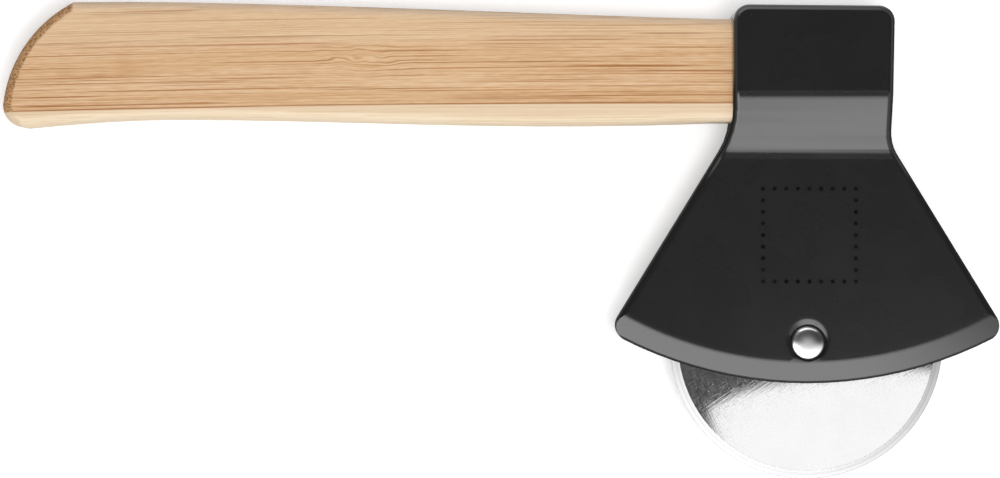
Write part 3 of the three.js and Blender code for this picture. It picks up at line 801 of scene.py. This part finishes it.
for name, (level, tilt, azimuth) in LAMPS.items():
    lamp_data = bpy.data.lights.new(name, "AREA")
    lamp_data.shape = "DISK"
    lamp_data.size = LAMP_SIZE
    lamp_data.energy = level * math.pi ** 2 * LAMP_DISTANCE ** 2
    lamp = bpy.data.objects.new(name, lamp_data)
    towards_lamp = direction(math.radians(tilt), math.radians(azimuth))
    lamp.location = towards_lamp * LAMP_DISTANCE
    lamp.rotation_euler = towards_lamp.to_track_quat("Z", "Y").to_euler()
    lamp.visible_glossy = False
    lamp.visible_camera = False
    bpy.context.scene.collection.objects.link(lamp)
    print(name, "lamp in watts:", round(lamp_data.energy, 2))

# %% Light strips
def reflection_card(name, points, faces):
    """A card that shows in reflections only. Returns it with its node tree and its strength socket."""
    card, tree = sheet(name, points, faces)
    glow = Wire(tree).node("ShaderNodeEmission")
    tree.links.new(glow.socket, tree.nodes["Material Output"].inputs["Surface"])
    for ray in ("camera", "diffuse", "transmission", "volume_scatter", "shadow"):
        setattr(card, "visible_" + ray, False)
    return card, tree, glow.socket.node.inputs["Strength"]


STRIP_DISTANCE = 0.45
STRIP_STEPS = 24

# Each strip's middle, half its length and how much of that is full light, as azimuths, and its two tilts
FRONT_STRIP = [math.radians(angle) for angle in (-112, 72, 36, 24, 52)]
FRONT_RISE = (math.radians(32.5), math.radians(36.5))
FRONT_LOW_LEVEL = 3.0
FRONT_HIGH_LEVEL = 5.2
BACK_STRIP = [math.radians(angle) for angle in (112, 38, 15, 34, 78)]
BACK_LEVEL = 2.7

# Where the front strip fades it turns white on the right, like the sky, between these two x in metres
WHITE_BESIDE = (-0.2, 0.2)


def light_strip(name, middle, half_angle, full_angle, *tilts):
    """A curved card round the head. Returns its strength socket, and wires for x, tilt and fading ends."""
    points = []
    faces = []
    for step in range(STRIP_STEPS + 1):
        azimuth = middle + half_angle * (2 * step / STRIP_STEPS - 1)
        points += [direction(tilt, azimuth) * STRIP_DISTANCE for tilt in tilts]
        if step:
            last = 2 * step
            faces.append((last - 2, last - 1, last + 1, last))
    card, tree, strength = reflection_card(name, points, faces)
    card.location.x = axle.x
    x, y, z = split(outputs(Wire(tree).node("ShaderNodeTexCoord"))["Object"])
    forward = x * math.cos(middle) + y * math.sin(middle)
    straight_ahead = forward / (x * x + y * y).math("SQRT")
    fade = straight_ahead.step(math.cos(half_angle), math.cos(full_angle))
    tilt = (z / STRIP_DISTANCE).math("ARCCOSINE")
    return strength, x, tilt, fade


strength, x, tilt, fade = light_strip("strip_front", *FRONT_STRIP)
level = tilt.step(*FRONT_RISE) * (FRONT_HIGH_LEVEL - FRONT_LOW_LEVEL) + FRONT_LOW_LEVEL
white_beside = x.step(*WHITE_BESIDE) * (1 - fade)
fade.tree.links.new((level * fade + white_beside).socket, strength)

strength, _, _, fade = light_strip("strip_back", *BACK_STRIP)
fade.tree.links.new((fade * (BACK_LEVEL - 1) + 1).socket, strength)
print("steps of each strip:", STRIP_STEPS)

# %% Dark flags
FLAG_LEVEL = 0.06
FLAG_HEIGHT = 1.2

# The edge of the dark reflection as it lies on the wheel, in mm, from right to left
FLAG_EDGE_ON_WHEEL = [
    (93, -27.8),
    (88, -27.2),
    (80, -27.4),
    (68, -29.0),
    (59.5, -30.0),
    (54.4, -31.0),
    (50.2, -32.3),
    (46, -34.2),
    (44.2, -35.2),
    (43.9, -36.0),
    (44.4, -37.7),
    (44.9, -40.4),
    (46.5, -44),
    (46.5, -56),
]

# The flag's far corners overhead, in metres, from the lower left on clockwise
FLAG_FAR_CORNERS = [
    (-0.05, -0.16),
    (-0.95, -0.1),
    (-2.2, -0.5),
    (-2.2, 0.75),
    (0.3, 0.8),
    (2.2, 0.9),
    (2.2, -0.5),
]

# The flag in front, at the same height, pales away from the cutter
FRONT_FLAG = [(-0.28, -0.62), (0.6, -0.62), (0.6, -0.14), (-0.28, -0.14)]
FRONT_FLAG_NEAR_LEVEL = 0.2
FRONT_FLAG_FAR_LEVEL = 0.35

throw = 1 + FLAG_HEIGHT / CAMERA_HEIGHT
outline = [(x * throw * MM, y * throw * MM) for x, y in FLAG_EDGE_ON_WHEEL] + FLAG_FAR_CORNERS


def flag(name, corners):
    points = [(x, y, axle.z + FLAG_HEIGHT) for x, y in corners]
    print(name, "has corners:", len(points))
    return reflection_card(name, points, [range(len(points))])


_, _, overhead_strength = flag("flag_overhead", outline)
overhead_strength.default_value = FLAG_LEVEL

_, front_tree, front_strength = flag("flag_in_front", FRONT_FLAG)
front_place = outputs(Wire(front_tree).node("ShaderNodeTexCoord"))["Object"]
far = split(front_place)[1].step(FRONT_FLAG[2][1], FRONT_FLAG[0][1])
paling = far * (FRONT_FLAG_FAR_LEVEL - FRONT_FLAG_NEAR_LEVEL) + FRONT_FLAG_NEAR_LEVEL
front_tree.links.new(paling.socket, front_strength)

# %% [markdown]
# ## The colours
# The colours are shown as they are, with no film look.

# %% Show the colours as they are
bpy.context.scene.view_settings.view_transform = "Standard"
